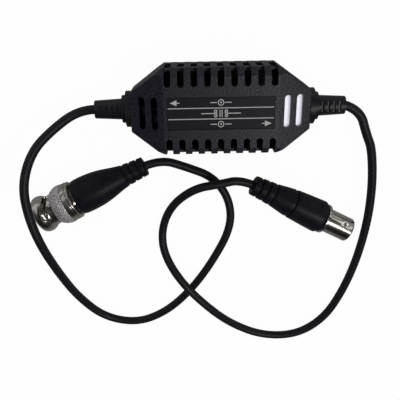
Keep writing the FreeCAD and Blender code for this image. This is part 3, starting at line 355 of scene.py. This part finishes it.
def ribbed(rear, r_rear, front, r_front, count, depth, gap):
    """Corners of a tail with rounded ribs, from its rear forwards, a groove ahead of each."""
    corners = []
    for k in range(count):
        low, high = (rear + (front - rear) * s / count for s in (k, k + 1))
        r_low, r_high = (r_rear + (r_front - r_rear) * s / count for s in (k, k + 1))
        corners += [(low, r_low, RIB_ROUND),
                    (high - gap, r_low + 0.6 * (r_high - r_low), RIB_ROUND),
                    (high - gap + GROOVE_SLOPE, r_low - depth, GROOVE_ROUND),
                    (high - GROOVE_SLOPE, r_high - depth, GROOVE_ROUND)]
    return corners


def boot_bores(front, shoulder, ferrule_rear, rear):
    """Corners of a boot's three bores, from its front backwards."""
    return [(front, COLLAR_BORE, 0), (shoulder, COLLAR_BORE, 0), (shoulder, FERRULE_BORE, 0),
            (ferrule_rear, FERRULE_BORE, 0), (ferrule_rear, CABLE_BORE, 0), (rear, CABLE_BORE, 0)]


plug_boot = lathe("plug_boot_body", PLUG, boot_bores(-0.9, -2.85, -11.45, -30)
                  + ribbed(-30, 3.7, -21.3, 4.3, 3, 0.45, 0.7) + through_curve([
    (-21.3, 4.25), (-18.0, 4.96), (-15.45, 5.62), (-12.9, 6.22), (-10.3, 6.68),
    (-7.7, 6.93), (-5.15, 7.05), (-3.0, 7.02), (-1.7, 6.9)], 3) + [(-0.9, 6.7, 0.3)])
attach(plug_boot, "isolator")
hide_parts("plug_boot")

jack_boot = lathe("jack_boot_body", JACK, boot_bores(0, -2.45, -11.05, -31.2)
                  + ribbed(-31.2, 3.85, -22.0, 4.6, 3, 0.5, 0.8) + [
    (-22.0, 4.55, 0.4), (-14.7, 5.75, 0.5), (-14.6, 5.1, 0.1), (-13.6, 5.1, 0.1),
    (-13.6, 5.85, 0.35), (-7.0, 6.3, 3.0), (-1.1, 6.6, 0.6), (0, 5.5, 0.3)])
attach(jack_boot, "isolator")
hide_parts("jack_boot")

# Jack: barrel, flange and crimp shank, with a flat and a lug on each side
FLAT = 4.62
FLAT_TOOL = 2
LUG_PLACE = 9.05
LUG = [(4.25, 0, 0), (4.25, 1.0, 0), (5.5, 1.0, 0.25), (5.5, 0, 0)]
jack = lathe("jack_barrel", JACK, [
    (-7.65, 1.0, 0), (-7.65, 2.3, 0.1), (-2.45, 2.3, 0), (-2.45, 5.2, 0.1), (0.05, 5.2, 0),
    (0.05, 5.95, 0.25), (1.35, 6.05, 0.45), (1.4, 4.8, 0.15), (12.25, 4.8, 0.35),
    (12.25, 4.2, 0.15), (3.2, 4.2, 0), (3.2, 2.45, 0), (-0.05, 2.45, 0), (-0.05, 1.0, 0)], 160)
combine(jack, "DIFFERENCE", [
    bar("flat_tool", JACK, (6.35, -3, low), (11.75, 3, low + FLAT_TOOL))
    for low in (FLAT, -FLAT - FLAT_TOOL)])
combine(jack, "UNION", [
    lathe("lug", JACK @ Matrix.Translation((LUG_PLACE, 0, 0)) @ Matrix.Rotation(turn, 4, "Y"),
          LUG, 48)
    for turn in (math.pi / 2, -math.pi / 2)])
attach(jack, "isolator")
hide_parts("jack_body")


# Materials
def shader(name, color, roughness, metallic=0.0, specular=0.5):
    """A new material, with its main shader's even values set on its own sockets."""
    made = bpy.data.materials.new(name)
    made.use_nodes = True
    main = made.node_tree.nodes["Principled BSDF"]
    main.inputs["Base Color"].default_value = (*color, 1)
    main.inputs["Roughness"].default_value = roughness
    main.inputs["Metallic"].default_value = metallic
    main.inputs["Specular IOR Level"].default_value = specular
    return made


def noise(tree, scale, detail=3.0, stretch=(1, 1, 1)):
    """Noise in the piece's own coordinates; scale is lumps per millimetre."""
    place = tree.nodes.new("ShaderNodeTexCoord")
    mapping = tree.nodes.new("ShaderNodeMapping")
    mapping.inputs["Scale"].default_value = [s / MM for s in stretch]
    lumps = tree.nodes.new("ShaderNodeTexNoise")
    lumps.inputs["Scale"].default_value = scale
    lumps.inputs["Detail"].default_value = detail
    tree.links.new(place.outputs["Object"], mapping.inputs["Vector"])
    tree.links.new(mapping.outputs["Vector"], lumps.inputs["Vector"])
    return lumps.outputs["Fac"]


def ranged(tree, factor, start, end, low, high):
    """A factor's range from start to end, spread from low to high."""
    spread = tree.nodes.new("ShaderNodeMapRange")
    for socket, value in zip(("From Min", "From Max", "To Min", "To Max"),
                             (start, end, low, high)):
        spread.inputs[socket].default_value = value
    tree.links.new(factor, spread.inputs["Value"])
    return spread.outputs["Result"]


def blended(tree, factor, first, second):
    """A mix of two colours, each either its three values or a socket."""
    mix = tree.nodes.new("ShaderNodeMix")
    mix.data_type = "RGBA"
    sockets = [socket for socket in mix.inputs if socket.type == "RGBA"]
    for socket, color in zip(sockets, (first, second)):
        if isinstance(color, tuple):
            socket.default_value = (*color, 1)
        else:
            tree.links.new(color, socket)
    tree.links.new(factor, mix.inputs["Factor"])
    return next(socket for socket in mix.outputs if socket.type == "RGBA")


def mottled(made, scale, dark, light, start=0.3, end=0.7, detail=3.0):
    """Base colour between two shades."""
    tree = made.node_tree
    factor = ranged(tree, noise(tree, scale, detail), start, end, 0, 1)
    tree.links.new(blended(tree, factor, dark, light),
                   tree.nodes["Principled BSDF"].inputs["Base Color"])


def roughened(made, scale, low, high, stretch=(1, 1, 1)):
    """Roughness between two values."""
    tree = made.node_tree
    tree.links.new(ranged(tree, noise(tree, scale, stretch=stretch), 0.3, 0.7, low, high),
                   tree.nodes["Principled BSDF"].inputs["Roughness"])


def bumped(made, scale, height, detail=3.0):
    """Bump of a height in millimetres."""
    tree = made.node_tree
    bump = tree.nodes.new("ShaderNodeBump")
    bump.inputs["Distance"].default_value = height * MM
    bump.inputs["Strength"].default_value = 1.0
    tree.links.new(noise(tree, scale, detail), bump.inputs["Height"])
    tree.links.new(bump.outputs["Normal"], tree.nodes["Principled BSDF"].inputs["Normal"])


def paint(piece, made):
    piece.data.materials.clear()
    piece.data.materials.append(made)


housing = shader("housing_plastic", (0.009, 0.0088, 0.017), 0.45, specular=0.45)
mottled(housing, 1.5, (0.002, 0.002, 0.005), (0.016, 0.0155, 0.029), detail=2)
roughened(housing, 1.2, 0.38, 0.52)
bumped(housing, 1.5, 0.09, detail=1.5)

label = shader("label", (0.0125, 0.012, 0.0155), 0.4, specular=0.12)
mottled(label, 0.15, (0.0115, 0.011, 0.0145), (0.0135, 0.013, 0.0165))
roughened(label, 0.6, 0.36, 0.42)

ink = shader("label_print", (0.42, 0.41, 0.42), 0.55)
mottled(ink, 3.0, (0.36, 0.35, 0.36), (0.47, 0.46, 0.47))

jacket = shader("cable_jacket", (0.008, 0.008, 0.0115), 0.45, specular=0.25)
mottled(jacket, 0.5, (0.007, 0.007, 0.010), (0.009, 0.009, 0.013))
roughened(jacket, 0.8, 0.4, 0.5)
bumped(jacket, 2.0, 0.012)

rubber = shader("boot_rubber", (0.0055, 0.0057, 0.010), 0.45, specular=0.17)
mottled(rubber, 0.4, (0.0045, 0.0047, 0.0085), (0.0065, 0.0067, 0.012))
roughened(rubber, 1.5, 0.38, 0.5)
bumped(rubber, 3.5, 0.015)

relief = shader("relief_plastic", (0.0065, 0.0065, 0.0105), 0.42, specular=0.4)
mottled(relief, 0.8, (0.005, 0.005, 0.008), (0.008, 0.008, 0.0125))
bumped(relief, 1.8, 0.02)

nickel = shader("nickel", (0.56, 0.54, 0.50), 0.2, metallic=1.0)
mottled(nickel, 0.35, (0.50, 0.475, 0.43), (0.60, 0.585, 0.55))
roughened(nickel, 0.3, 0.18, 0.24)

# Knurled nickel: its own tone, with light speckles that are painted glints of the knurl's tiny
# diamonds
knurl_painted_glints = shader("knurled_nickel_painted_glints", (0.67, 0.62, 0.63), 0.5, metallic=0.8)
mottled(knurl_painted_glints, 2.2, (0.42, 0.385, 0.39), (0.92, 0.87, 0.89), 0.4, 0.6, detail=1)
roughened(knurl_painted_glints, 2.5, 0.45, 0.58)

gold = shader("gold", (0.80, 0.55, 0.20), 0.2, metallic=1.0)
roughened(gold, 1.5, 0.14, 0.28)

white = shader("white_plastic", (0.82, 0.81, 0.85), 0.5)
mottled(white, 0.7, (0.80, 0.79, 0.84), (0.88, 0.87, 0.91))

# Painted light: the pad behind the slots of the jack's end glows, so it stays pale where little
# light reaches
pad_painted_glow = shader("white_sheet_painted_glow", (0.86, 0.85, 0.90), 0.5)
mottled(pad_painted_glow, 0.7, (0.84, 0.83, 0.88), (0.88, 0.87, 0.92))
pad_glow_inputs = pad_painted_glow.node_tree.nodes["Principled BSDF"].inputs
# Painted glow: emission that brightens the shaded pad, though it is no lamp
pad_glow_inputs["Emission Color"].default_value = (0.9, 0.87, 1, 1)
pad_glow_inputs["Emission Strength"].default_value = 0.45

seal = shader("seal", (0.30, 0.05, 0.03), 0.6)
mottled(seal, 1.0, (0.26, 0.04, 0.025), (0.34, 0.06, 0.04))

steel = shader("spring_steel", (0.5, 0.5, 0.5), 0.3, metallic=1.0)
roughened(steel, 1.0, 0.22, 0.4, stretch=(1, 6, 6))

board = shader("board", (0.02, 0.12, 0.05), 0.4)
mottled(board, 0.3, (0.016, 0.10, 0.04), (0.026, 0.14, 0.06))

copper = shader("copper_wire", (0.55, 0.2, 0.07), 0.35, metallic=1.0)
roughened(copper, 1.0, 0.28, 0.45)

ferrite = shader("ferrite", (0.03, 0.03, 0.03), 0.6)
mottled(ferrite, 2.0, (0.024, 0.024, 0.024), (0.04, 0.04, 0.04))

solder = shader("solder", (0.6, 0.6, 0.6), 0.3, metallic=1.0)
roughened(solder, 2.0, 0.2, 0.42)

nylon = shader("nylon", (0.02, 0.02, 0.02), 0.5)
mottled(nylon, 1.0, (0.015, 0.015, 0.015), (0.025, 0.025, 0.025))

LOOKS = {
    "housing_plastic": housing, "label": label, "label_print": ink, "relief_plastic": relief,
    "cable_jacket": jacket, "boot_rubber": rubber, "nickel": nickel, "gold": gold,
    "insulator_white": white, "seal": seal, "spring_steel": steel, "board": board,
    "copper_wire": copper, "ferrite": ferrite, "solder": solder, "nylon": nylon,
}
for subpart in frame["record"]["subparts"]:
    paint(nodes[subpart["node"]], LOOKS[subpart["material_slot"]])
paint(nodes["insulating_pad"], pad_painted_glow)
for piece, look in ((plug_cable, jacket), (jack_cable, jacket), (plug_boot, rubber),
                    (jack_boot, rubber), (nut, nickel), (jack, nickel), (knurl, knurl_painted_glints),
                    (spring, steel)):
    paint(piece, look)

# Floor: grey as lit, and white by these shares and strengths where these rays see it
FLOOR_HALF = 3
FLOOR_GREY = 0.85
FLOOR_WHITE = [("Is Glossy Ray", 0.8, 0.15), ("Is Transmission Ray", 0.97, 1.0),
               ("Is Camera Ray", 0.97, 1.0)]


def floor_shader():
    """The floor's material."""
    made = bpy.data.materials.new("floor")
    made.use_nodes = True
    tree = made.node_tree
    tree.nodes.remove(tree.nodes["Principled BSDF"])
    path = tree.nodes.new("ShaderNodeLightPath")
    lit = tree.nodes.new("ShaderNodeBsdfDiffuse")
    lit.inputs["Color"].default_value = (FLOOR_GREY, FLOOR_GREY, FLOOR_GREY, 1)
    last = lit.outputs["BSDF"]
    for ray, share, strength in FLOOR_WHITE:
        glow = tree.nodes.new("ShaderNodeEmission")
        glow.inputs["Strength"].default_value = strength
        weight = tree.nodes.new("ShaderNodeMath")
        weight.operation = "MULTIPLY"
        weight.inputs[1].default_value = share
        tree.links.new(path.outputs[ray], weight.inputs[0])
        mix = tree.nodes.new("ShaderNodeMixShader")
        tree.links.new(weight.outputs["Value"], mix.inputs["Fac"])
        tree.links.new(last, mix.inputs[1])
        tree.links.new(glow.outputs["Emission"], mix.inputs[2])
        last = mix.outputs["Shader"]
    tree.links.new(last, tree.nodes["Material Output"].inputs["Surface"])
    return made


floor_mesh = bpy.data.meshes.new("floor")
floor_mesh.from_pydata([(x * FLOOR_HALF, y * FLOOR_HALF, 0)
                        for x, y in ((-1, -1), (1, -1), (1, 1), (-1, 1))], [], [(0, 1, 2, 3)])
floor = link(bpy.data.objects.new("floor", floor_mesh))
paint(floor, floor_shader())

# World: even light, white where it is seen, and bands of grey by height in reflections
AMBIENT = (0.5, 0.5, 0.5)
WHITE = (1.0, 1.0, 1.0)
BANDS = [(0.0, 0.8), (0.12, 0.45), (0.3, 0.10), (0.6, 0.03), (0.8, 0.08), (1.0, 0.13)]
FRONT_SHARE, REAR_SHARE = 0.15, 1.3  # of the bands' light, in front of the object and behind it


def world_shader(tree):
    """The world's nodes."""
    path = tree.nodes.new("ShaderNodeLightPath")
    place = tree.nodes.new("ShaderNodeTexCoord")
    axes = tree.nodes.new("ShaderNodeSeparateXYZ")
    tree.links.new(place.outputs["Generated"], axes.inputs["Vector"])
    ramp = tree.nodes.new("ShaderNodeValToRGB")
    tree.links.new(axes.outputs["Z"], ramp.inputs["Fac"])
    for i, (height, grey) in enumerate(BANDS):
        stop = ramp.color_ramp.elements[i] if i < 2 else ramp.color_ramp.elements.new(height)
        stop.position = height
        stop.color = (grey, grey, grey, 1)
    shaded = tree.nodes.new("ShaderNodeVectorMath")
    shaded.operation = "SCALE"
    tree.links.new(ramp.outputs["Color"], shaded.inputs[0])
    tree.links.new(ranged(tree, axes.outputs["Y"], -0.5, 0.5, FRONT_SHARE, REAR_SHARE),
                   shaded.inputs["Scale"])
    lit = blended(tree, path.outputs["Is Glossy Ray"], AMBIENT, shaded.outputs["Vector"])
    shown = tree.nodes.new("ShaderNodeMath")
    shown.operation = "MAXIMUM"
    tree.links.new(path.outputs["Is Camera Ray"], shown.inputs[0])
    tree.links.new(path.outputs["Is Transmission Ray"], shown.inputs[1])
    tree.links.new(blended(tree, shown.outputs["Value"], lit, WHITE),
                   tree.nodes["Background"].inputs["Color"])


world = bpy.data.worlds.new("world")
world.use_nodes = True
scene.world = world
world_shader(world.node_tree)

# Lamps; metres
MIDDLE = Vector((0, -0.03, 0))


def lamp(name, way, distance, width, watts):
    """A soft square lamp in one direction from the object's middle, aimed at it."""
    data = bpy.data.lights.new(name, "AREA")
    data.size = width
    data.energy = watts
    made = link(bpy.data.objects.new(name, data))
    way = Vector(way).normalized()
    made.location = MIDDLE + way * distance
    made.rotation_mode = "QUATERNION"
    made.rotation_quaternion = (-way).to_track_quat("-Z", "Y")


lamp("key", (0.397, -0.168, 0.902), 0.7, 0.18, 1.3)
lamp("glint", (0.73, 0.45, 0.52), 0.6, 0.12, 0.09)
lamp("fill", (-0.45, 0.45, 0.40), 0.7, 0.5, 0.35)

scene.view_settings.view_transform = "Standard"
